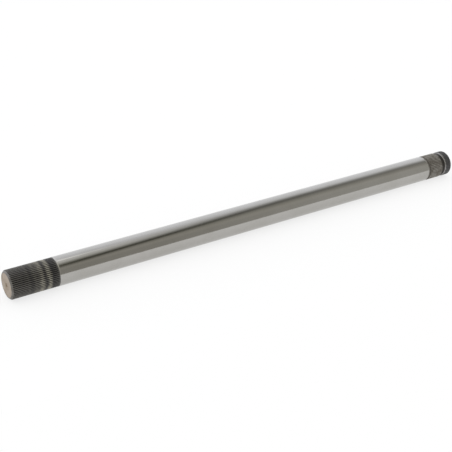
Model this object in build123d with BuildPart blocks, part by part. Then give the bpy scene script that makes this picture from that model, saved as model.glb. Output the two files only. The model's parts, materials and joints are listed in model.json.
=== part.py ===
from build123d import *
import math
import os

# A ground machine shaft with a fine serration on both ends.
# The shaft lies along X. The near end face is at X = 0 and its centre is the origin.
# From the near end: lead chamfer, long serration, ground journal, relief, short
# serration, retaining groove, serrated collar and end chamfer.
# All sizes are in millimetres and degrees.

# Ground journal
journal_diameter = 30.0
journal_length = 491.0

# Tooth form, the same on both ends and cut in one setting, so the teeth line up
tooth_count = 48
tooth_height = 0.5
tip_step = 0.18  # how far the tooth tips lie inside the journal's surface
space_width = 0.84  # between two flanks, at mid height
flank_angle = 31.1  # pressure angle of the involute, at mid height

# Serrated lengths
near_end_length = 50.3  # end face to the full diameter of the journal
far_serration_length = 19.4  # relief to retaining groove
runout_angle = 18.0  # cone between the tooth spaces and the journal

# Relief between the journal and the far serration
relief_length = 3.7
relief_depth = 0.8  # below the journal's surface

# Retaining groove and the serrated collar outside it
groove_width = 5.0
groove_depth = 1.3  # below the journal's surface
collar_length = 10.6
collar_chamfer_length = 1.5  # along the shaft, on the side of the groove
collar_chamfer_drop = 0.8  # below the tooth tips, still above the groove's floor

# Chamfers at the two ends, at 45 degrees
near_chamfer = 1.8
far_chamfer = 1.5

# Centre holes for turning between centres
pilot_diameter = 2.5
pilot_length = 3.0
countersink_diameter = 5.3
countersink_angle = 60.0
drill_point_angle = 118.0

# Radii, worked out from the sizes above
journal_radius = journal_diameter / 2
tip_radius = journal_radius - tip_step
root_radius = tip_radius - tooth_height
mid_radius = (tip_radius + root_radius) / 2
relief_radius = journal_radius - relief_depth
groove_radius = journal_radius - groove_depth
base_radius = mid_radius * math.cos(math.radians(flank_angle))
clear_radius = journal_radius + tooth_height  # outside everything, for the cutters

# Stations along X, worked out from the lengths above
runout_slope = math.tan(math.radians(runout_angle))
buried_radius = root_radius - tooth_height  # the near cone starts here, inside the teeth
cone_start = near_end_length - (journal_radius - buried_radius) / runout_slope
journal_end = near_end_length + journal_length
relief_end = journal_end + relief_length
groove_start = relief_end + far_serration_length
groove_end = groove_start + groove_width
overall_length = groove_end + collar_length
collar_foot = tip_radius - collar_chamfer_drop  # radius where the chamfer meets the groove
collar_slope = collar_chamfer_length / collar_chamfer_drop


def involute(radius):
    """Roll angle, in radians, that the flank has turned through at a radius."""
    pressure = math.acos(base_radius / radius)
    return math.tan(pressure) - pressure


def flank_point(radius, side):
    """Point on one flank of a tooth space that is centred on the sketch's X."""
    half_space = space_width / (2 * mid_radius)
    angle = side * (half_space + involute(radius) - involute(mid_radius))
    return (radius * math.cos(angle), radius * math.sin(angle))


def centre_hole(face_x, inward):
    """Half section of a centre hole that is cut into the end face at face_x."""
    pilot_radius = pilot_diameter / 2
    mouth_radius = countersink_diameter / 2
    sink_depth = (mouth_radius - pilot_radius) / math.tan(math.radians(countersink_angle / 2))
    point_depth = pilot_radius / math.tan(math.radians(drill_point_angle / 2))
    pilot_end = sink_depth + pilot_length
    return [
        (face_x, 0),
        (face_x, mouth_radius),
        (face_x + inward * sink_depth, pilot_radius),
        (face_x + inward * pilot_end, pilot_radius),
        (face_x + inward * (pilot_end + point_depth), 0),
    ]


# One space between two teeth, with involute flanks and a floor on the root circle
with BuildSketch() as tooth_space:
    with BuildLine():
        left = ThreePointArc(*[flank_point(r, -1) for r in (root_radius, mid_radius, clear_radius)])
        right = ThreePointArc(*[flank_point(r, 1) for r in (root_radius, mid_radius, clear_radius)])
        ThreePointArc(left @ 0, (root_radius, 0), right @ 0)
        Line(left @ 1, right @ 1)
    make_face()

# Cross section of a serrated end
with BuildSketch() as tooth_section:
    Circle(tip_radius)
    with PolarLocations(0, tooth_count):
        add(tooth_space.sketch, mode=Mode.SUBTRACT)

with BuildPart() as shaft:
    # Ground middle: run-out cone, journal, cone down to the relief, relief
    with BuildSketch(Plane.XY):
        with BuildLine():
            Polyline(
                (cone_start, 0),
                (cone_start, buried_radius),
                (near_end_length, journal_radius),
                (journal_end, journal_radius),
                (journal_end + relief_depth / runout_slope, relief_radius),
                (relief_end + tooth_height, relief_radius),
                (relief_end + tooth_height, 0),
                close=True,
            )
        make_face()
    revolve(axis=Axis.X)

    # Serrated ends: the near one runs under the cone, the far one starts at the relief
    with BuildSketch(Plane.YZ):
        add(tooth_section.sketch)
    extrude(amount=near_end_length)
    with BuildSketch(Plane.YZ.offset(relief_end)):
        add(tooth_section.sketch)
    extrude(amount=overall_length - relief_end)

    # Turned after the teeth: lead chamfer, groove with the collar's chamfer, end chamfer
    with BuildSketch(Plane.XY):
        with BuildLine():
            Polyline(
                (0, clear_radius),
                (0, tip_radius - near_chamfer),
                (near_chamfer + clear_radius - tip_radius, clear_radius),
                close=True,
            )
        make_face()
        with BuildLine():
            Polyline(
                (groove_start, clear_radius),
                (groove_start, groove_radius),
                (groove_end, groove_radius),
                (groove_end, collar_foot),
                (groove_end + collar_slope * (clear_radius - collar_foot), clear_radius),
                close=True,
            )
        make_face()
        with BuildLine():
            Polyline(
                (overall_length, clear_radius),
                (overall_length, tip_radius - far_chamfer),
                (overall_length - far_chamfer - clear_radius + tip_radius, clear_radius),
                close=True,
            )
        make_face()
    revolve(axis=Axis.X, mode=Mode.SUBTRACT)

    # Centre holes
    with BuildSketch(Plane.XY):
        with BuildLine():
            Polyline(*centre_hole(0, 1), close=True)
        make_face()
        with BuildLine():
            Polyline(*centre_hole(overall_length, -1), close=True)
        make_face()
    revolve(axis=Axis.X, mode=Mode.SUBTRACT)

shaft.part.label = "shaft"
os.makedirs("parts", exist_ok=True)
export_step(shaft.part, "parts/shaft.step")
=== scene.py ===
"""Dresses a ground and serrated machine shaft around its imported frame.

The shaft lies along X, with its near end face at X = 0 and its centre at the origin. One closed
mesh replaces the shaft's node: the same turned profile and involute teeth, with finer facets and
broken edges, and with its own finish on each zone.
"""

import json
import logging
import math
from collections.abc import Sequence
from dataclasses import dataclass, field
from enum import Enum

import bpy
import numpy as np
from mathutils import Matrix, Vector


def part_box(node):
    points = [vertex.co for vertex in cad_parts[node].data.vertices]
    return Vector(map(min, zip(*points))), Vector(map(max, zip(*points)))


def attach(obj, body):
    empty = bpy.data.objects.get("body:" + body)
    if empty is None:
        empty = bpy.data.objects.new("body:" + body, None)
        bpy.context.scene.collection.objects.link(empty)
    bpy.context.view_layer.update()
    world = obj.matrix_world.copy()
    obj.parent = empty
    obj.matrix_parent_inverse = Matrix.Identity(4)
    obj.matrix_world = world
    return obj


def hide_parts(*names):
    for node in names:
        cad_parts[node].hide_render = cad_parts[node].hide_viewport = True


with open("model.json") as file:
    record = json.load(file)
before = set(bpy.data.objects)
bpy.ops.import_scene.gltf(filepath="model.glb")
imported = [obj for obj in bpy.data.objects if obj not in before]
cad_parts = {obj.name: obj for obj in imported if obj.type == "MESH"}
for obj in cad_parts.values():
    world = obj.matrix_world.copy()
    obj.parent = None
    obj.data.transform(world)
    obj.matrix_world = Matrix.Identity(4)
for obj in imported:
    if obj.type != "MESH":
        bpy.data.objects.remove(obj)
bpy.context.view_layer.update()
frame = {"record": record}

LOG = logging.getLogger("shaft")
MM = 0.001
TINY = 1e-9  # the least length that anything is divided by
LONGEST_STEP = 0.4  # the most of the way between two corners that a rounding takes
Colour = tuple[float, float, float]
Stops = Sequence[tuple[float, float | Colour]]
Socket = bpy.types.NodeSocket
WHITE: Colour = (1.0, 1.0, 1.0)


def mount_size(name: str, key: str) -> float:
    """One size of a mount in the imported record, such as r_mm, in metres."""
    found = [m for m in frame["record"]["mounts"] if m["name"] == name]
    return found[0]["dims"][key] * MM


class Finish(Enum):
    """The finishes of the shaft's zones; each value is the material's place on the mesh."""

    TURNED_FACE = 0
    LEAD_CHAMFER = 1
    NEAR_TEETH = 2
    GROUND = 3
    FAR_TEETH = 4
    GROOVE = 5
    COLLAR = 6
    RING = 7


@dataclass(frozen=True)
class ToothForm:
    """Involute serration teeth, as radii and angles round the shaft's axis."""

    count: int = 48
    tip_radius: float = mount_size("near_serration", "r_mm")
    height: float = 0.5 * MM
    space_width: float = 0.84 * MM
    flank_angle: float = 31.1
    broken_edge: float = 0.05 * MM
    flank_heights: tuple[float, ...] = (0.08, 0.36, 0.64, 0.92)

    @property
    def root_radius(self) -> float:
        """Radius of the floor of a tooth space."""
        return self.tip_radius - self.height

    def half_space(self, radius: np.ndarray) -> np.ndarray:
        """Half the angle of a tooth space at a radius.

        Half the width at mid height over its radius, plus the involute at the radius less the
        involute at mid height, where the involute is the tangent of the pressure angle less the
        angle itself.

        Args:
            radius: Radii, in metres.

        Returns:
            Angles in radians.
        """
        middle = self.tip_radius - self.height / 2
        base = middle * math.cos(math.radians(self.flank_angle))
        pressure = np.arccos(base / radius)
        pressure_mid = math.acos(base / middle)
        roll = np.tan(pressure) - pressure - math.tan(pressure_mid) + pressure_mid
        return self.space_width / (2 * middle) + roll

    def section(self) -> tuple[np.ndarray, np.ndarray]:
        """One cross section: half a pitch from space to tip, mirrored, and repeated.

        Returns:
            The angles, which rise from below zero by one turn, and the radius at each.
        """
        flank = self.root_radius + self.height * np.array(self.flank_heights)
        opening = self.half_space(flank)
        foot = self.half_space(np.array([self.root_radius]))[0]
        lip = self.half_space(np.array([self.tip_radius]))[0]
        foot -= self.broken_edge / self.root_radius
        lip += self.broken_edge / self.tip_radius
        half = np.concatenate([[foot], opening, [lip]])
        heights = np.concatenate([[self.root_radius], flank, [self.tip_radius]])
        pitch = 2 * math.pi / self.count
        angles = np.concatenate([-half[::-1], [0.0], half, [pitch / 2]])
        radii = np.concatenate([heights[::-1], [self.root_radius], heights, [self.tip_radius]])
        turns = np.arange(self.count)[:, None] * pitch
        return (turns + angles).ravel(), np.tile(radii, self.count)


@dataclass(frozen=True)
class Corner:
    """One corner of the profile, which may lie at another place under each tooth.

    Attributes:
        x: Place along the shaft, one number or one for each column.
        r: Radius, one number or one for each column.
        blend: How far before and after the corner its rounding starts and ends.
        parts: How many equal parts the run up to this corner has.
        finish: The finish of the run up to this corner.
    """

    x: float | np.ndarray
    r: float | np.ndarray
    blend: float = 0.0
    parts: int = 1
    finish: Finish = Finish.GROUND


@dataclass(frozen=True)
class MapStrip:
    """A rectangle of the shaft's own map that takes one stretch of the unrolled surface.

    Attributes:
        start: Where the stretch starts, as a length along the profile.
        end: Where it ends.
        left: The rectangle's left edge in the map; right, bottom and top likewise.
    """

    start: float
    end: float
    left: float
    right: float
    bottom: float
    top: float


class TurnedSurface:
    """A closed surface: rings of vertices carried along a profile from pole to pole."""

    ROUNDING = (0.0, 0.33, 0.67, 1.0)

    def __init__(self, angles: np.ndarray, corners: list[Corner]) -> None:
        """Keeps the columns' angles and works out the rings.

        Args:
            angles: The angle of each column of vertices round the axis.
            corners: The profile's corners, from the first pole to the last.
        """
        self.angles = angles
        self.finishes: list[Finish] = []
        self.rings = self._rings(corners)

    def _rings(self, corners: list[Corner]) -> np.ndarray:
        """Rounds each corner by a quadratic curve and cuts each run into its parts.

        A rounding's point is (1-u)^2 of the point before the corner, 2u(1-u) of the corner and
        u^2 of the point after it, for u from 0 to 1.

        Args:
            corners: The profile's corners.

        Returns:
            An array of rings by columns by two, holding x and radius.
        """
        columns = len(self.angles)
        spots = np.stack(
            [
                np.stack([np.broadcast_to(c.x, columns), np.broadcast_to(c.r, columns)], -1)
                for c in corners
            ]
        )
        rings = [spots[0]]
        for i in range(1, len(corners)):
            corner, here = corners[i], spots[i]
            back = spots[i - 1] - here
            rounded = corner.blend > 0 and i + 1 < len(corners)
            bends = [here]
            if rounded:
                ahead = spots[i + 1] - here
                before = here + self._step(back, corner.blend)
                after = here + self._step(ahead, corner.blend)
                bends = [
                    (1 - u) ** 2 * before + 2 * u * (1 - u) * here + u * u * after
                    for u in self.ROUNDING
                ]
            last = rings[-1]
            for k in range(1, corner.parts):
                rings.append(last + (bends[0] - last) * k / corner.parts)
            self.finishes += [corner.finish] * corner.parts
            rings.append(bends[0])
            following = corners[i + 1].finish if rounded else corner.finish
            half = (len(bends) - 1) // 2
            self.finishes += [corner.finish] * half + [following] * (len(bends) - 1 - half)
            rings += bends[1:]
        return np.stack(rings)

    @staticmethod
    def _step(way: np.ndarray, length: float) -> np.ndarray:
        """A step of a length along each column's way to a corner, or less if that is near."""
        share = length / np.maximum(np.linalg.norm(way, axis=-1, keepdims=True), TINY)
        return way * np.minimum(share, LONGEST_STEP)

    def lengths(self) -> np.ndarray:
        """Mean length along the profile up to each ring."""
        steps = np.linalg.norm(np.diff(self.rings, axis=0), axis=-1).mean(axis=1)
        return np.concatenate([[0.0], np.cumsum(steps)])

    def mesh(self, name: str, strips: list[MapStrip]) -> bpy.types.Mesh:
        """Makes the mesh: a ring's vertex lies at (x, r cos a, r sin a).

        Args:
            name: The mesh's name.
            strips: The rectangles of the shaft's own map.

        Returns:
            The mesh, closed at both poles, with one material index for each zone.
        """
        rows, columns = self.rings.shape[0] - 2, len(self.angles)
        x, r = self.rings[1:-1, :, 0], self.rings[1:-1, :, 1]
        body = np.stack([x, r * np.cos(self.angles), r * np.sin(self.angles)], -1)
        poles = [(self.rings[0, 0, 0], 0.0, 0.0), (self.rings[-1, 0, 0], 0.0, 0.0)]
        verts = np.concatenate([body.reshape(-1, 3), np.array(poles)])

        j = np.arange(columns)
        k = (j + 1) % columns
        first, last = rows * columns, rows * columns + 1
        grid = np.arange(rows - 1)[:, None] * columns
        quads = np.stack([grid + j, grid + k, grid + columns + k, grid + columns + j], -1)
        near_fan = np.stack([np.full(columns, first), k, j], -1)
        far_ring = (rows - 1) * columns
        far_fan = np.stack([np.full(columns, last), far_ring + j, far_ring + k], -1)
        faces = near_fan.tolist() + quads.reshape(-1, 4).tolist() + far_fan.tolist()

        mesh = bpy.data.meshes.new(name)
        mesh.from_pydata(verts, [], faces)
        zones = np.repeat([f.value for f in self.finishes], columns)
        mesh.polygons.foreach_set("material_index", zones.astype(np.int32))
        self._unroll(mesh, strips, columns)
        mesh.validate(verbose=False)
        mesh.update()
        mesh.shade_smooth()
        return mesh

    def _unroll(self, mesh: bpy.types.Mesh, strips: list[MapStrip], columns: int) -> None:
        """Writes the shaft's own map: turn across each strip, length along it.

        Args:
            mesh: The mesh, whose faces are the near fan, the quads and the far fan.
            strips: The map's rectangles, in the profile's order.
            columns: How many columns the rings have.
        """
        length = self.lengths()
        turn = np.arange(columns) / columns
        step = 1.0 / columns
        middle = (length[:-1] + length[1:]) / 2
        pieces = []
        for i in range(len(length) - 1):
            strip = next((s for s in strips if middle[i] <= s.end), strips[-1])
            ends = np.array([length[i], length[i + 1]])
            low, high = strip.bottom + (strip.top - strip.bottom) * np.clip(
                (ends - strip.start) / (strip.end - strip.start), 0, 1
            )
            left = strip.left + (strip.right - strip.left) * turn
            right = left + (strip.right - strip.left) * step
            lows, highs = np.full(columns, low), np.full(columns, high)
            corners = [(left, lows), (right, lows), (right, highs), (left, highs)]
            if i == 0:
                corners = [((left + right) / 2, lows), (right, highs), (left, highs)]
            if i == len(length) - 2:
                corners = [((left + right) / 2, highs), (left, lows), (right, lows)]
            pieces.append(np.stack([np.stack(c, -1) for c in corners], 1).reshape(-1, 2))
        layer = mesh.uv_layers.new(name="OFBake")
        layer.uv.foreach_set("vector", np.concatenate(pieces).astype(np.float32).ravel())


@dataclass
class NodeSheet:
    """Adds nodes to one node tree, each with its inputs in one call."""

    tree: bpy.types.NodeTree

    def add(self, kind: str, settings: dict | None = None, **inputs: object) -> bpy.types.Node:
        """Adds a node.

        Args:
            kind: The node's type name.
            settings: Plain properties of the node.
            inputs: Values or sockets for its inputs, by name with spaces as underscores, or by
                number as in i0.

        Returns:
            The node.
        """
        node = self.tree.nodes.new(kind)
        for key, value in (settings or {}).items():
            setattr(node, key, value)
        self.wire(node, **inputs)
        return node

    def wire(self, node: bpy.types.Node, **inputs: object) -> None:
        """Sets or links inputs of a node.

        Args:
            node: The node.
            inputs: Values or sockets, named as in add.
        """
        for key, value in inputs.items():
            place = int(key[1:]) if key[0] == "i" and key[1:].isdigit() else key.replace("_", " ")
            socket = node.inputs[place]
            if isinstance(value, Socket):
                self.tree.links.new(value, socket)
            else:
                socket.default_value = value

    def math(self, operation: str, *values: object, clamp: bool = False) -> Socket:
        """Adds a Math node.

        Args:
            operation: The operation's name.
            values: Its numbers or sockets.
            clamp: Whether the result stays between 0 and 1.

        Returns:
            The node's result.
        """
        named = {f"i{k}": value for k, value in enumerate(values)}
        settings = {"operation": operation, "use_clamp": clamp}
        return self.add("ShaderNodeMath", settings, **named).outputs[0]

    def blend(self, share: object, first: object, second: object) -> Socket:
        """Mixes two colours, where the share from 0 to 1 says how much of the second there is."""
        node = self.add("ShaderNodeMix", {"data_type": "RGBA"}, i0=share, i6=first, i7=second)
        return node.outputs[2]

    def mix(self, kind: str, first: object, second: object) -> Socket:
        """Combines two colours as the kind says, such as ADD or MULTIPLY."""
        settings = {"data_type": "RGBA", "blend_type": kind}
        return self.add("ShaderNodeMix", settings, i0=1.0, i6=first, i7=second).outputs[2]

    def ramp(self, value: Socket, stops: Stops) -> Socket:
        """Maps a value from 0 to 1 through a curve of greys or colours.

        Args:
            value: The value's socket.
            stops: Place and grey or colour of each stop.

        Returns:
            The curve's value.
        """
        node = self.add("ShaderNodeValToRGB", None, i0=value)
        curve = node.color_ramp
        while len(curve.elements) < len(stops):
            curve.elements.new(1.0)
        for element, (place, shade) in zip(curve.elements, stops):
            element.position = place
            element.color = rgba(shade if isinstance(shade, tuple) else (shade,) * 3)
        return node.outputs[0]

    def remap(
        self,
        value: Socket,
        source: tuple[object, object] = (0.0, 1.0),
        target: tuple[float, float] = (0.0, 1.0),
        eased: bool = False,
    ) -> Socket:
        """Maps one range of a value onto another, and holds it at the range's ends.

        Args:
            value: The value's socket.
            source: Where the range starts and ends, as numbers or sockets.
            target: What the value becomes there.
            eased: Whether it changes by a smooth step instead of evenly.

        Returns:
            The mapped value.
        """
        return self.add(
            "ShaderNodeMapRange",
            {"interpolation_type": "SMOOTHSTEP" if eased else "LINEAR"},
            Value=value,
            From_Min=source[0],
            From_Max=source[1],
            To_Min=target[0],
            To_Max=target[1],
        ).outputs[0]

    def noise(self, place: Socket, scale: object, detail: float) -> Socket:
        """Noise at a place, with about scale patches in a unit and detail finer layers."""
        settings = {"Vector": place, "Scale": scale, "Detail": detail}
        return self.add("ShaderNodeTexNoise", None, **settings).outputs[0]

    def place(self) -> Socket:
        """The place on the piece, in metres."""
        return self.add("ShaderNodeTexCoord").outputs["Object"]

    def scaled_place(self, scale: object) -> Socket:
        """The place on the piece times a scale for each axis, a vector or its socket."""
        settings = {"operation": "MULTIPLY"}
        return self.add("ShaderNodeVectorMath", settings, i0=self.place(), i1=scale).outputs[0]

    def from_axis(self, scale: float = 1.0) -> Socket:
        """The distance from the shaft's axis times a scale: the length of (0, y, z) scaled."""
        across = self.scaled_place((0.0, scale, scale))
        return self.add("ShaderNodeVectorMath", {"operation": "LENGTH"}, i0=across).outputs["Value"]


def rgba(colour: Colour) -> tuple[float, float, float, float]:
    """A colour with its alpha."""
    return (*colour, 1.0)


def new_group(
    name: str, inputs: dict[str, float], outputs: list[str]
) -> tuple[bpy.types.NodeTree, NodeSheet, bpy.types.Node, bpy.types.Node]:
    """Starts a node group with named numbers in and out.

    Args:
        name: The group's name.
        inputs: Each input's name and usual value.
        outputs: The outputs' names.

    Returns:
        The group, its sheet, and its input and output nodes.
    """
    tree = bpy.data.node_groups.new(name, "ShaderNodeTree")
    for key, value in inputs.items():
        socket = tree.interface.new_socket(key, in_out="INPUT", socket_type="NodeSocketFloat")
        socket.default_value = value
    for key in outputs:
        tree.interface.new_socket(key, in_out="OUTPUT", socket_type="NodeSocketFloat")
    sheet = NodeSheet(tree)
    return tree, sheet, sheet.add("NodeGroupInput"), sheet.add("NodeGroupOutput")


class SharedPatterns:
    """Node groups that several finishes use, each built once."""

    FINER_PATCHES = 3.7
    FINER_SHARE = 0.4

    def __init__(self, teeth: ToothForm) -> None:
        """Builds the groups.

        Args:
            teeth: The tooth form of both serrations.
        """
        self.tool_marks = self._tool_marks()
        self.blotches = self._blotches()
        self.tooth_height = self._tooth_height(teeth)

    def _tool_marks(self) -> bpy.types.NodeTree:
        """Fine lines round the shaft, as a cutting or grinding tool leaves them.

        Returns:
            The group: noise that is tight along X and long round the shaft.
        """
        tree, sheet, given, out = new_group(
            "tool marks", {"Lines Per Metre": 3000.0, "Lines Round": 40.0}, ["Height"]
        )
        scale = sheet.add(
            "ShaderNodeCombineXYZ",
            None,
            X=given.outputs["Lines Per Metre"],
            Y=given.outputs["Lines Round"],
            Z=given.outputs["Lines Round"],
        )
        lines = sheet.noise(sheet.scaled_place(scale.outputs[0]), 1.0, detail=3.0)
        sheet.wire(out, Height=lines)
        return tree

    def _blotches(self) -> bpy.types.NodeTree:
        """Uneven patches, as heat, oil and handling leave them.

        Returns:
            The group: two sizes of noise added, then stretched between two bounds.
        """
        tree, sheet, given, out = new_group(
            "blotches", {"Patches Per Metre": 150.0, "Low": 0.4, "High": 0.6}, ["Mask"]
        )
        place = sheet.place()
        wide = sheet.noise(place, given.outputs[0], detail=4.0)
        finer = sheet.math("MULTIPLY", given.outputs[0], self.FINER_PATCHES)
        small = sheet.noise(place, finer, detail=2.0)
        both = sheet.math("MULTIPLY_ADD", small, self.FINER_SHARE, wide)
        even = sheet.math("DIVIDE", both, 1.0 + self.FINER_SHARE)
        bounds = (given.outputs["Low"], given.outputs["High"])
        sheet.wire(out, Mask=sheet.remap(even, bounds, eased=True))
        return tree

    def _tooth_height(self, teeth: ToothForm) -> bpy.types.NodeTree:
        """How high on a tooth a point lies: 0 on the root circle and 1 on the tips.

        Args:
            teeth: The tooth form, whose radii are the usual values.

        Returns:
            The group, which reads the distance from the shaft's axis.
        """
        usual = {"Root Radius": teeth.root_radius, "Tip Radius": teeth.tip_radius}
        tree, sheet, given, out = new_group("tooth height", usual, ["Mask"])
        radii = (given.outputs["Root Radius"], given.outputs["Tip Radius"])
        sheet.wire(out, Mask=sheet.remap(sheet.from_axis(), radii))
        return tree


def new_surface(name: str) -> tuple[bpy.types.Material, NodeSheet, bpy.types.Node]:
    """Starts a material.

    Args:
        name: The material's name.

    Returns:
        The material, its sheet and its surface shader.
    """
    material = bpy.data.materials.new(name)
    material.use_nodes = True
    shader = next(n for n in material.node_tree.nodes if n.type == "BSDF_PRINCIPLED")
    return material, NodeSheet(material.node_tree), shader


def use_group(sheet: NodeSheet, group: bpy.types.NodeTree, **inputs: object) -> Socket:
    """Places a shared group in a material, with its inputs as in add, and gives its output."""
    return sheet.add("ShaderNodeGroup", {"node_tree": group}, **inputs).outputs[0]


@dataclass(frozen=True)
class GroundSteel:
    """The ground journal: bright, with fine marks round it and faint uneven tone."""

    colour: Colour = (0.43, 0.42, 0.40)
    duller: Colour = (0.39, 0.38, 0.355)
    roughness: float = 0.10
    rougher: float = 0.17
    mark_depth: float = 0.6e-6
    marks_share: float = 0.35
    patches_share: float = 0.5

    def build(self, shared: SharedPatterns) -> bpy.types.Material:
        """Makes the material.

        Args:
            shared: The shared node groups.

        Returns:
            The material.
        """
        material, sheet, shader = new_surface("ground_steel")
        marks = use_group(sheet, shared.tool_marks, Lines_Per_Metre=2600.0, Lines_Round=30.0)
        patches = use_group(sheet, shared.blotches, Patches_Per_Metre=38.0, Low=0.38, High=0.66)
        dull = sheet.math("MULTIPLY", patches, self.patches_share)
        tone = sheet.math("MULTIPLY_ADD", marks, self.marks_share, dull)
        bump = sheet.add("ShaderNodeBump", None, Distance=self.mark_depth, Height=marks)
        sheet.wire(
            shader,
            Base_Color=sheet.blend(tone, rgba(self.colour), rgba(self.duller)),
            Roughness=sheet.remap(marks, target=(self.roughness, self.rougher)),
            Normal=bump.outputs[0],
            Metallic=1.0,
        )
        return material


@dataclass(frozen=True)
class Band:
    """A lighter or darker ring on the heat-darkened serration.

    Attributes:
        x: The middle of the ring along the shaft, in metres.
        tint: How light it is, from 0 for the dark skin to 1 for the lightest ring.
    """

    x: float
    tint: float


@dataclass(frozen=True)
class HeatedTeeth:
    """The near serration: a dark heat skin, ringed with worn olive bands.

    Attributes:
        skin: The heat skin's colour, where a band's tint is 0; worn is that at 1.
        root: The colour of the tooth spaces' floor, far darker than the skin: painted shade.
        tip_light: How much lighter than the bands' own colour the tooth tips are.
        tip_shares: How much of the tips' colour shows at each height on a tooth, the rest painted
            shade.
        ragged_by: How far the bands' edges wander along the shaft.
        least_light: How light the dullest patches of a band are; uneven_light is what the
            brightest ones add.
    """

    skin: Colour = (0.039, 0.038, 0.038)
    worn: Colour = (0.215, 0.205, 0.175)
    # Painted shade: the tooth spaces' floor is far darker than the heat skin.
    root: Colour = (0.010, 0.0095, 0.009)
    tip_light: float = 2.7
    tip_shares: Stops = ((0.0, 0.0), (0.25, 0.4), (0.8, 0.8), (1.0, 0.85))
    roughness: float = 0.38
    root_roughness: float = 0.6
    metallic: float = 0.9
    ragged_by: float = 1.0 * MM
    least_light: float = 0.8
    uneven_light: float = 0.4
    bands: tuple[Band, ...] = (
        Band(0.0, 0.11),
        Band(8.0 * MM, 0.13),
        Band(15.8 * MM, 0.12),
        Band(17.8 * MM, 0.20),
        Band(20.6 * MM, 0.05),
        Band(22.2 * MM, 0.10),
        Band(24.4 * MM, 0.28),
        Band(26.6 * MM, 0.23),
        Band(28.8 * MM, 0.28),
        Band(31.6 * MM, 0.75),
        Band(33.0 * MM, 0.55),
        Band(34.8 * MM, 0.07),
        Band(36.3 * MM, 0.08),
        Band(39.0 * MM, 0.78),
        Band(40.6 * MM, 0.62),
        Band(42.4 * MM, 0.02),
        Band(44.0 * MM, 0.0),
        Band(46.0 * MM, 0.05),
        Band(50.3 * MM, 0.09),
    )

    def build(self, shared: SharedPatterns) -> bpy.types.Material:
        """Makes the material.

        Args:
            shared: The shared node groups.

        Returns:
            The material.
        """
        material, sheet, shader = new_surface("heated_teeth")
        along = sheet.add("ShaderNodeSeparateXYZ", None, Vector=sheet.place()).outputs["X"]
        ragged = use_group(sheet, shared.blotches, Patches_Per_Metre=170.0, Low=0.35, High=0.65)
        shift = sheet.math("MULTIPLY", sheet.math("SUBTRACT", ragged, 0.5), self.ragged_by)
        length = self.bands[-1].x
        share = sheet.math("DIVIDE", sheet.math("ADD", along, shift), length)
        light = sheet.ramp(share, [(b.x / length, b.tint) for b in self.bands])
        uneven = sheet.math("MULTIPLY_ADD", ragged, self.uneven_light, self.least_light)
        light = sheet.math("MULTIPLY", light, uneven, clamp=True)
        shell = sheet.blend(light, rgba(self.skin), rgba(self.worn))
        bright = sheet.mix("MULTIPLY", shell, rgba((self.tip_light,) * 3))
        # Painted shade darkens the tooth spaces; the tips are lighter as worn metal.
        tips = sheet.ramp(use_group(sheet, shared.tooth_height), self.tip_shares)
        sheet.wire(
            shader,
            Base_Color=sheet.blend(tips, rgba(self.root), bright),
            Roughness=sheet.remap(tips, target=(self.root_roughness, self.roughness)),
            Metallic=self.metallic,
        )
        return material


@dataclass(frozen=True)
class MottledTeeth:
    """The far serration: a dull grey-brown skin, with no sharp contrast between its teeth."""

    pale: Colour = (0.38, 0.365, 0.335)
    brown: Colour = (0.215, 0.192, 0.163)
    # Painted shade: the tooth spaces' floor is darker than the skin.
    root: Colour = (0.17, 0.157, 0.14)
    roughness: float = 0.45
    brown_roughness: float = 0.6
    metallic: float = 0.8

    def build(self, shared: SharedPatterns) -> bpy.types.Material:
        """Makes the material.

        Args:
            shared: The shared node groups.

        Returns:
            The material.
        """
        material, sheet, shader = new_surface("mottled_teeth")
        patches = use_group(sheet, shared.blotches, Patches_Per_Metre=160.0, Low=0.38, High=0.64)
        skin = sheet.blend(patches, rgba(self.pale), rgba(self.brown))
        # Darker toward the tooth roots: painted shade in the tooth spaces.
        height = use_group(sheet, shared.tooth_height)
        sheet.wire(
            shader,
            Base_Color=sheet.blend(height, rgba(self.root), skin),
            Roughness=sheet.remap(patches, target=(self.roughness, self.brown_roughness)),
            Metallic=self.metallic,
        )
        return material


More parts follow.
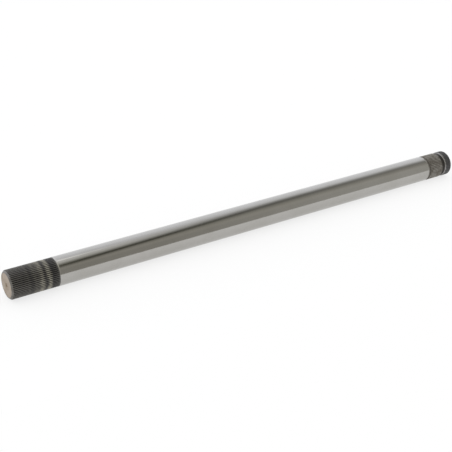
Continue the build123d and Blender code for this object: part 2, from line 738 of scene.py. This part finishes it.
@dataclass(frozen=True)
class TurnedSteel:
    """A turned surface: heat-tinted end faces, chamfers and collar; groove in painted shade.

    Attributes:
        mark_roughness: How much rougher the steel is where the tool marks are highest.
        marks_share: How much stain the marks hold; patches_share is that of the patches.
        across: Whether it is an end face, whose marks are rings round its centre.
        centre_stain: The radius of an end face's stained middle.
        centre_share: How much stain the middle adds.
        full_stain: The part of that radius inside which the added stain is whole.
    """

    name: str
    colour: Colour
    stain: Colour
    lines_per_metre: float = 1800.0
    lines_round: float = 60.0
    roughness: float = 0.45
    mark_roughness: float = 0.12
    metallic: float = 0.8
    mark_depth: float = 4.0e-6
    marks_share: float = 0.4
    patches_share: float = 0.5
    across: bool = False
    centre_stain: float = 8.0 * MM
    centre_share: float = 0.35
    full_stain: float = 0.4

    def build(self, shared: SharedPatterns) -> bpy.types.Material:
        """Makes the material.

        Args:
            shared: The shared node groups.

        Returns:
            The material.
        """
        material, sheet, shader = new_surface(self.name)
        patches = use_group(sheet, shared.blotches, Patches_Per_Metre=140.0, Low=0.4, High=0.68)
        stained = sheet.math("MULTIPLY", patches, self.patches_share)
        if self.across:
            marks, middle = self.rings(sheet)
        else:
            lines = {"Lines_Per_Metre": self.lines_per_metre, "Lines_Round": self.lines_round}
            marks, middle = use_group(sheet, shared.tool_marks, **lines), 0.0
        share = sheet.math("MULTIPLY_ADD", marks, self.marks_share, stained)
        share = sheet.math("ADD", share, middle, clamp=True)
        rough = (self.roughness, self.roughness + self.mark_roughness)
        bump = sheet.add("ShaderNodeBump", None, Distance=self.mark_depth, Height=marks)
        sheet.wire(
            shader,
            Base_Color=sheet.blend(share, rgba(self.colour), rgba(self.stain)),
            Roughness=sheet.remap(marks, target=rough),
            Normal=bump.outputs[0],
            Metallic=self.metallic,
        )
        return material

    def rings(self, sheet: NodeSheet) -> tuple[Socket, Socket]:
        """The marks and the stained middle of an end face, by the distance from its centre.

        Args:
            sheet: The material's sheet.

        Returns:
            The marks, noise along the distance, and the stain that the middle adds.
        """
        lines = sheet.from_axis(self.lines_per_metre)
        settings = {"noise_dimensions": "1D"}
        marks = sheet.add("ShaderNodeTexNoise", settings, W=lines, Scale=1.0, Detail=2.0)
        middle = sheet.remap(
            sheet.math("DIVIDE", lines, self.lines_per_metre),
            (self.centre_stain * self.full_stain, self.centre_stain),
            (self.centre_share, 0.0),
            eased=True,
        )
        return marks.outputs[0], middle


SurfaceFinish = TurnedSteel | HeatedTeeth | GroundSteel | MottledTeeth


@dataclass(frozen=True)
class Roundings:
    """How far each kind of corner is rounded before and after it, in metres.

    Attributes:
        tooth: Where the teeth end at a chamfer, a cone or the groove, and in the centre holes.
        face: The rims of the end faces.
        wall: The outer edge of the relief's wall, and of the groove's on the collar's side.
        relief_foot: The relief's inner corner at the far serration.
        relief_floor: The start of the relief's floor.
        groove_floor: The groove's inner corners.
        lead_in: The start of the journal's full radius.
        journal: The journal's far edge.
    """

    tooth: float = 0.08 * MM
    face: float = 0.12 * MM
    wall: float = 0.06 * MM
    relief_foot: float = 0.05 * MM
    relief_floor: float = 0.2 * MM
    groove_floor: float = 0.15 * MM
    lead_in: float = 0.15 * MM
    journal: float = 0.3 * MM


@dataclass(frozen=True)
class Shaft:
    """The whole shaft: its turned profile, its two serrated ends and their finishes.

    Attributes:
        bright_edge: How far before the journal its polished lead-in starts.
        lead_in: How far the lead-in reaches into the journal.
        dark_rim: How wide the stained rim of each end face is.
        map_near_top: How high the near end reaches in the shaft's own map.
        map_journal_bottom: Where the journal's strips start in it; they reach its top.
        map_journal_strips: How many strips the journal is cut into.
        map_gap: The gap between two strips.
        journal_margin: How far below the journal's radius a ring still counts as its own.
    """

    teeth: ToothForm = field(default_factory=ToothForm)
    roundings: Roundings = field(default_factory=Roundings)
    overall_length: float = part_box("shaft")[1].x
    journal_radius: float = mount_size("journal", "r_mm")
    journal_length: float = mount_size("journal", "length_mm")
    near_end_length: float = 50.3 * MM
    runout_angle: float = 18.0
    bright_edge: float = 0.35 * MM
    lead_in: float = 0.7 * MM
    dark_rim: float = 0.6 * MM
    near_chamfer: float = 1.8 * MM
    far_chamfer: float = 1.5 * MM
    relief_length: float = 3.7 * MM
    relief_depth: float = 0.8 * MM
    collar_length: float = 10.6 * MM
    collar_chamfer_length: float = 1.5 * MM
    collar_chamfer_drop: float = 0.8 * MM
    groove_width: float = mount_size("retaining_groove", "length_mm")
    groove_radius: float = mount_size("retaining_groove", "r_mm")
    pilot_radius: float = mount_size("near_centre_hole", "r_mm")
    pilot_length: float = 3.0 * MM
    countersink_radius: float = 2.65 * MM
    countersink_angle: float = 60.0
    drill_point_angle: float = 118.0
    map_near_top: float = 0.28
    map_journal_bottom: float = 0.5
    map_journal_strips: int = 3
    map_gap: float = 0.01
    journal_margin: float = 0.02 * MM

    def centre_hole(self) -> list[tuple[float, float]]:
        """A centre hole: a pilot with a drill's point, and a countersink.

        Returns:
            Depth and radius of each corner, from the point outwards, without the mouth.
        """
        step = self.countersink_radius - self.pilot_radius
        sink = step / math.tan(math.radians(self.countersink_angle / 2))
        point = self.pilot_radius / math.tan(math.radians(self.drill_point_angle / 2))
        floor = sink + self.pilot_length
        return [(floor + point, 0.0), (floor, self.pilot_radius), (sink, self.pilot_radius)]

    def corners(self, tooth: np.ndarray) -> list[Corner]:
        """The profile from the near centre hole to the far one.

        A chamfer or cone meets the teeth where its straight line reaches the tooth section's
        radius, so that corner's place changes from column to column. The journal starts with a
        polished lead-in, flatter than the cone, and each end face has a dark rim.

        Args:
            tooth: The tooth section's radius in each column.

        Returns:
            The profile's corners.
        """
        edge = self.roundings
        tips = self.teeth.tip_radius
        deep, mid, mouth = self.centre_hole()
        near_edge = tips - self.near_chamfer
        far_edge = tips - self.far_chamfer
        slope = math.tan(math.radians(self.runout_angle))
        cone_radius = self.journal_radius - self.bright_edge * slope
        cone_start = self.near_end_length - (self.journal_radius - tooth) / slope
        journal_end = self.near_end_length + self.journal_length
        floor_start = journal_end + self.relief_depth / slope
        relief_end = journal_end + self.relief_length
        relief_radius = self.journal_radius - self.relief_depth
        groove_end = self.overall_length - self.collar_length
        groove_start = groove_end - self.groove_width
        foot = tips - self.collar_chamfer_drop
        ring_end = groove_end + (tooth - foot) * self.collar_chamfer_length / (tips - foot)
        end = self.overall_length
        face, chamfer = Finish.TURNED_FACE, Finish.LEAD_CHAMFER
        near, far = Finish.NEAR_TEETH, Finish.FAR_TEETH
        # Place, radius and rounding of each corner; parts and finish of the run up to it
        return [
            Corner(*deep),
            Corner(*mid, edge.tooth, 2, face),
            Corner(*mouth, edge.tooth, 1, face),
            Corner(0.0, self.countersink_radius, edge.tooth, 1, face),
            Corner(0.0, near_edge - self.dark_rim, 0.0, 4, face),
            Corner(0.0, near_edge, edge.face, 1, chamfer),
            Corner(tooth - near_edge, tooth, edge.tooth, 2, chamfer),
            Corner(cone_start, tooth, edge.tooth, 8, near),
            Corner(self.near_end_length - self.bright_edge, cone_radius, 0.0, 1, near),
            Corner(self.near_end_length + self.lead_in, self.journal_radius, edge.lead_in),
            Corner(journal_end, self.journal_radius, edge.journal, 24),
            Corner(floor_start, relief_radius, edge.relief_floor, 2, far),
            Corner(relief_end, relief_radius, edge.relief_foot, 1, far),
            Corner(relief_end, tooth, edge.wall, 1, far),
            Corner(groove_start, tooth, edge.tooth, 4, far),
            Corner(groove_start, self.groove_radius, edge.groove_floor, 1, Finish.GROOVE),
            Corner(groove_end, self.groove_radius, edge.groove_floor, 2, Finish.GROOVE),
            Corner(groove_end, foot, edge.wall, 1, Finish.GROOVE),
            Corner(ring_end, tooth, edge.tooth, 2, Finish.RING),
            Corner(end - tooth + far_edge, tooth, edge.tooth, 3, Finish.COLLAR),
            Corner(end, far_edge, edge.face, 2, Finish.COLLAR),
            Corner(end, far_edge - self.dark_rim, 0.0, 1, chamfer),
            Corner(end, self.countersink_radius, edge.tooth, 4, face),
            Corner(end - mouth[0], mouth[1], edge.tooth, 1, face),
            Corner(end - mid[0], mid[1], edge.tooth, 1, face),
            Corner(end - deep[0], deep[1], 0.0, 2, face),
        ]

    def map_strips(self, length: float, journal_start: float) -> list[MapStrip]:
        """Lays the unrolled surface out in a square: the ends full wide, the journal in strips.

        Args:
            length: The whole length along the profile.
            journal_start: The length along the profile at which the journal starts.

        Returns:
            The strips in the profile's order.
        """
        count, gap = self.map_journal_strips, self.map_gap
        low, high = self.map_near_top, self.map_journal_bottom
        stretch = (self.journal_length - self.lead_in) / count
        strips = [MapStrip(0.0, journal_start, 0.0, 1.0, 0.0, low)]
        for k in range(count):
            start = journal_start + k * stretch
            left, right = k / count + gap / 2, (k + 1) / count - gap / 2
            strips.append(MapStrip(start, start + stretch, left, right, high, 1.0))
        far_start = journal_start + count * stretch
        strips.append(MapStrip(far_start, length, 0.0, 1.0, low + gap, high - gap))
        return strips

    def finishes(self) -> list[SurfaceFinish]:
        """The finishes in the order of their places on the mesh."""
        return [
            TurnedSteel("turned_face", (0.46, 0.395, 0.325), (0.34, 0.27, 0.20), across=True),
            TurnedSteel("lead_chamfer", (0.25, 0.24, 0.225), (0.08, 0.072, 0.063)),
            HeatedTeeth(),
            GroundSteel(),
            MottledTeeth(),
            # Painted shade: the groove is far darker than the collar beside it.
            TurnedSteel("groove", (0.062, 0.058, 0.052), (0.035, 0.032, 0.027), roughness=0.5),
            TurnedSteel("collar", (0.112, 0.110, 0.111), (0.070, 0.068, 0.069), roughness=0.3),
            # Painted highlight: the collar's chamfer by the groove is painted far paler than the
            # collar.
            TurnedSteel("ring", (0.42, 0.41, 0.40), (0.25, 0.24, 0.235), roughness=0.35),
        ]

    def build(self, shared: SharedPatterns) -> bpy.types.Object:
        """Builds and dresses the shaft.

        Args:
            shared: The shared node groups.

        Returns:
            The shaft's object, which replaces its node.
        """
        angles, tooth = self.teeth.section()
        surface = TurnedSurface(angles, self.corners(tooth))
        lengths = surface.lengths()
        at_start = np.abs(surface.rings[:, 0, 0] - self.near_end_length)
        on_journal = surface.rings[:, 0, 1] > self.journal_radius - self.journal_margin
        first = int(np.argmin(np.where(on_journal, at_start, np.inf)))
        strips = self.map_strips(lengths[-1], lengths[first])
        mesh = surface.mesh("machine_shaft", strips)
        for finish in self.finishes():
            mesh.materials.append(finish.build(shared))
        shaft = bpy.data.objects.new("machine_shaft", mesh)
        bpy.context.collection.objects.link(shaft)
        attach(shaft, "root")
        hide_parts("shaft")
        return shaft


@dataclass(frozen=True)
class Direction:
    """Where a mirrored ray goes, as sockets of the world's sheet.

    Attributes:
        across: Its x / z.
        deep: Its y / z.
        far: 0 where the near end's shades hold and 1 where the far end's do.
    """

    across: Socket
    deep: Socket
    far: Socket


@dataclass(frozen=True)
class Surroundings:
    """What the steel shows: a pale room, dim at the front, with a dark gap in its ceiling.

    A direction (x, y, z) meets the ceiling at across = x / z and deep = y / z. The room changes
    with x from the near end's shades to the far end's.

    Attributes:
        near_ceiling: The ceiling's shades by deep, from -ceiling_reach to ceiling_reach.
        near_gap: How much light the gap leaves by the distance from its middle, up to gap_reach.
        near_to_far: Between these values of x the near end's shades turn into the far end's.
        bright_side: Between these values of across the ceiling's brighter side ends.
        bright_side_gain: How much brighter that side is.
        gap_from: Where the gap's middle starts to move, as across and deep; it stops at gap_to.
        gap_end: Between these values of across the gap begins.
        side_lamp: The place of a small lamp beside the near end, as across and deep.
        side_lamp_size: The lamp's radius, in the same units.
        side_lamp_light: How much light it adds at its middle.
        lowest: The smallest z by which x and y are divided.
    """

    near_ceiling: Stops = (
        (-2.0, (0.40, 0.39, 0.355)),
        (-1.2, (0.45, 0.435, 0.395)),
        (-0.85, (0.44, 0.425, 0.38)),
        (-0.5, (0.50, 0.49, 0.43)),
        (0.0, (0.70, 0.70, 0.68)),
        (0.35, (0.80, 0.80, 0.81)),
        (0.56, (0.93, 0.94, 0.98)),
        (0.82, (1.01, 1.03, 1.08)),
        (1.16, (1.15, 1.17, 1.23)),
        (2.0, (1.13, 1.15, 1.20)),
    )
    far_ceiling: Stops = (
        (-2.0, (0.58, 0.575, 0.545)),
        (-0.85, (0.59, 0.58, 0.545)),
        (-0.5, (0.56, 0.545, 0.51)),
        (-0.2, (0.57, 0.56, 0.53)),
        (0.0, (0.66, 0.655, 0.65)),
        (0.17, (0.74, 0.745, 0.755)),
        (0.35, (0.87, 0.88, 0.90)),
        (0.56, (1.04, 1.05, 1.10)),
        (0.82, (1.12, 1.14, 1.20)),
        (2.0, (1.11, 1.13, 1.18)),
    )
    near_gap: Stops = (
        (-0.90, 1.0),
        (-0.60, 0.86),
        (-0.40, (0.66, 0.66, 0.65)),
        (-0.20, (0.34, 0.34, 0.33)),
        (-0.08, (0.15, 0.15, 0.13)),
        (0.06, (0.11, 0.11, 0.095)),
        (0.15, (0.24, 0.24, 0.23)),
        (0.25, (0.44, 0.44, 0.43)),
        (0.36, 0.68),
        (0.54, 0.97),
        (0.65, 1.0),
    )
    far_gap: Stops = (
        (-0.90, 1.0),
        (-0.56, (0.87, 0.87, 0.86)),
        (-0.35, (0.76, 0.76, 0.75)),
        (-0.17, (0.64, 0.64, 0.62)),
        (0.0, (0.53, 0.53, 0.51)),
        (0.12, (0.62, 0.62, 0.61)),
        (0.25, 0.78),
        (0.40, 0.97),
        (0.65, 1.0),
    )
    ceiling_reach: float = 2.0
    gap_reach: float = 1.0
    near_to_far: tuple[float, float] = (0.45, 0.66)
    bright_side: tuple[float, float] = (0.34, 0.48)
    bright_side_gain: float = 1.26
    gap_from: tuple[float, float] = (0.40, -0.57)
    gap_to: tuple[float, float] = (0.68, -0.03)
    gap_end: tuple[float, float] = (0.15, 0.45)
    side_lamp: tuple[float, float] = (0.33, 0.33)
    side_lamp_size: float = 0.13
    side_lamp_light: float = 0.75
    lowest: float = 0.08

    def build(self) -> bpy.types.World:
        """Makes the world: plain white for camera and diffuse rays, and the room for the others.

        Returns:
            The world.
        """
        world = bpy.data.worlds.new("studio")
        bpy.context.scene.world = world
        world.use_nodes = True
        sheet = NodeSheet(world.node_tree)
        way = sheet.add("ShaderNodeTexCoord").outputs["Generated"]
        parts = sheet.add("ShaderNodeSeparateXYZ", None, Vector=way).outputs
        up = sheet.math("MAXIMUM", parts["Z"], self.lowest)
        ray = Direction(
            across=sheet.math("DIVIDE", parts["X"], up),
            deep=sheet.math("DIVIDE", parts["Y"], up),
            far=sheet.remap(parts["X"], self.near_to_far),
        )
        ceiling = self.ceiling(sheet, ray)
        begun = sheet.remap(ray.across, self.gap_end, eased=True)
        sky = sheet.blend(begun, ceiling, sheet.mix("MULTIPLY", ceiling, self.gap(sheet, ray)))
        steel = sheet.mix("ADD", sky, self.lamp(sheet, ray))
        path = sheet.add("ShaderNodeLightPath").outputs
        plain = sheet.math("MAXIMUM", path["Is Camera Ray"], path["Is Diffuse Ray"])
        background = next(n for n in world.node_tree.nodes if n.type == "BACKGROUND")
        sheet.wire(background, Color=sheet.blend(plain, steel, rgba(WHITE)), Strength=1.0)
        return world

    def ceiling(self, sheet: NodeSheet, ray: Direction) -> Socket:
        """The ceiling without its gap: shades by deep, times the brighter side's gain.

        Args:
            sheet: The world's sheet.
            ray: The direction.

        Returns:
            The colour.
        """
        ends = (self.near_ceiling, self.far_ceiling)
        shades = self.shades(sheet, ray, ray.deep, ends, self.ceiling_reach)
        side = sheet.remap(ray.across, self.bright_side, (self.bright_side_gain, 1.0), eased=True)
        return sheet.mix("MULTIPLY", shades, side)

    def gap(self, sheet: NodeSheet, ray: Direction) -> Socket:
        """How much light the gap leaves: its middle's deep is an eased step of across.

        Args:
            sheet: The world's sheet.
            ray: The direction.

        Returns:
            The colour by which the ceiling is multiplied.
        """
        starts, stops = zip(self.gap_from, self.gap_to)
        middle = sheet.remap(ray.across, starts, stops, eased=True)
        behind = sheet.math("SUBTRACT", ray.deep, middle)
        ends = (self.near_gap, self.far_gap)
        return self.shades(sheet, ray, behind, ends, self.gap_reach)

    def lamp(self, sheet: NodeSheet, ray: Direction) -> Socket:
        """The side lamp: one less the square of the distance from its middle over its size.

        Args:
            sheet: The world's sheet.
            ray: The direction.

        Returns:
            The light that it adds.
        """
        squares = []
        for value, middle in zip((ray.across, ray.deep), self.side_lamp):
            away = sheet.math("SUBTRACT", value, middle)
            away = sheet.math("DIVIDE", away, self.side_lamp_size)
            squares.append(sheet.math("MULTIPLY", away, away))
        spot = sheet.math("SUBTRACT", 1.0, sheet.math("ADD", *squares), clamp=True)
        return sheet.math("MULTIPLY", spot, self.side_lamp_light)

    @staticmethod
    def shades(
        sheet: NodeSheet, ray: Direction, value: Socket, ends: tuple[Stops, Stops], reach: float
    ) -> Socket:
        """A ramp for each end over a value from -reach to reach, blended from near to far.

        Args:
            sheet: The world's sheet.
            ray: The direction.
            value: The value that the ramps go by.
            ends: The near end's and the far end's stops.
            reach: The largest value.

        Returns:
            The colour.
        """
        share = sheet.math("MULTIPLY_ADD", value, 0.5 / reach, 0.5, clamp=True)
        near, far = (
            sheet.ramp(share, [(0.5 * place / reach + 0.5, tone) for place, tone in stops])
            for stops in ends
        )
        return sheet.blend(ray.far, near, far)


@dataclass(frozen=True)
class Studio:
    """The floor and the camera.

    Attributes:
        floor_size: The floor's width; it reaches half of that behind the shaft.
        floor_front: Where the floor ends in front, as a table does. The steel shows this edge.
        floor_colour: The floor's own colour, which holds the shadow.
        floor_lift: What it gives off for camera and mirrored rays, so that it looks white.
        azimuth: The camera's angle round the target, in degrees; elevation likewise.
        lens: The camera's focal length, in millimetres, for a film of this width.
        clip: The nearest and the furthest distance that it sees.
    """

    floor_size: float = 8.0
    floor_front: float = -0.17
    floor_colour: Colour = (0.26, 0.26, 0.26)
    floor_lift: float = 0.74
    azimuth: float = -33.53
    elevation: float = 25.27
    target: tuple[float, float, float] = (0.2477, -0.0076, 0.0014)
    distance: float = 1.05
    lens: float = 77.44
    film: float = 36.0
    clip: tuple[float, float] = (0.01, 50.0)

    def floor(self, height: float) -> bpy.types.Object:
        """A pale floor, white where nothing shades it, that ends in front of the shaft.

        Args:
            height: The floor's height.

        Returns:
            The floor.
        """
        half, front = self.floor_size / 2, self.floor_front
        corners = [(-half, front), (half, front), (half, half), (-half, half)]
        mesh = bpy.data.meshes.new("floor")
        mesh.from_pydata([(x, y, height) for x, y in corners], [], [(0, 1, 2, 3)])
        material, sheet, shader = new_surface("floor_paper")
        path = sheet.add("ShaderNodeLightPath").outputs
        mirrored = sheet.math("MAXIMUM", path["Is Glossy Ray"], path["Is Transmission Ray"])
        seen = sheet.math("MAXIMUM", path["Is Camera Ray"], mirrored)
        sheet.wire(
            shader,
            Base_Color=rgba(self.floor_colour),
            Roughness=1.0,
            Specular_IOR_Level=0.0,
            Emission_Color=rgba(WHITE),
            Emission_Strength=sheet.math("MULTIPLY", seen, self.floor_lift),
        )
        mesh.materials.append(material)
        floor = bpy.data.objects.new("floor", mesh)
        bpy.context.collection.objects.link(floor)
        return floor

    def camera(self) -> bpy.types.Object:
        """Aims the camera at the target, from its azimuth and elevation.

        Returns:
            The camera.
        """
        azimuth, elevation = math.radians(self.azimuth), math.radians(self.elevation)
        level = math.cos(elevation)
        back = Vector((math.sin(azimuth) * level, -math.cos(azimuth) * level, math.sin(elevation)))
        lens = bpy.data.cameras.new("camera")
        lens.lens = self.lens
        lens.sensor_width = self.film
        lens.clip_start, lens.clip_end = self.clip
        camera = bpy.data.objects.new("camera", lens)
        camera.location = Vector(self.target) + back * self.distance
        camera.rotation_mode = "QUATERNION"
        camera.rotation_quaternion = (-back).to_track_quat("-Z", "Y")
        bpy.context.collection.objects.link(camera)
        bpy.context.scene.camera = camera
        return camera


def main() -> None:
    """Builds the shaft and the studio in order and reports each piece."""
    logging.basicConfig(level=logging.INFO, format="%(name)s: %(message)s")
    bpy.context.scene.view_settings.view_transform = "Standard"
    sizes = Shaft()
    shaft = sizes.build(SharedPatterns(sizes.teeth))
    LOG.info("%s: %d faces", shaft.name, len(shaft.data.polygons))
    world = Surroundings().build()
    LOG.info("%s: %d nodes", world.name, len(world.node_tree.nodes))
    studio = Studio()
    floor = studio.floor(-sizes.journal_radius)
    LOG.info("%s at %.4f m", floor.name, -sizes.journal_radius)
    camera = studio.camera()
    LOG.info("%s at %s", camera.name, tuple(round(c, 4) for c in camera.location))


if __name__ == "__main__":
    main()
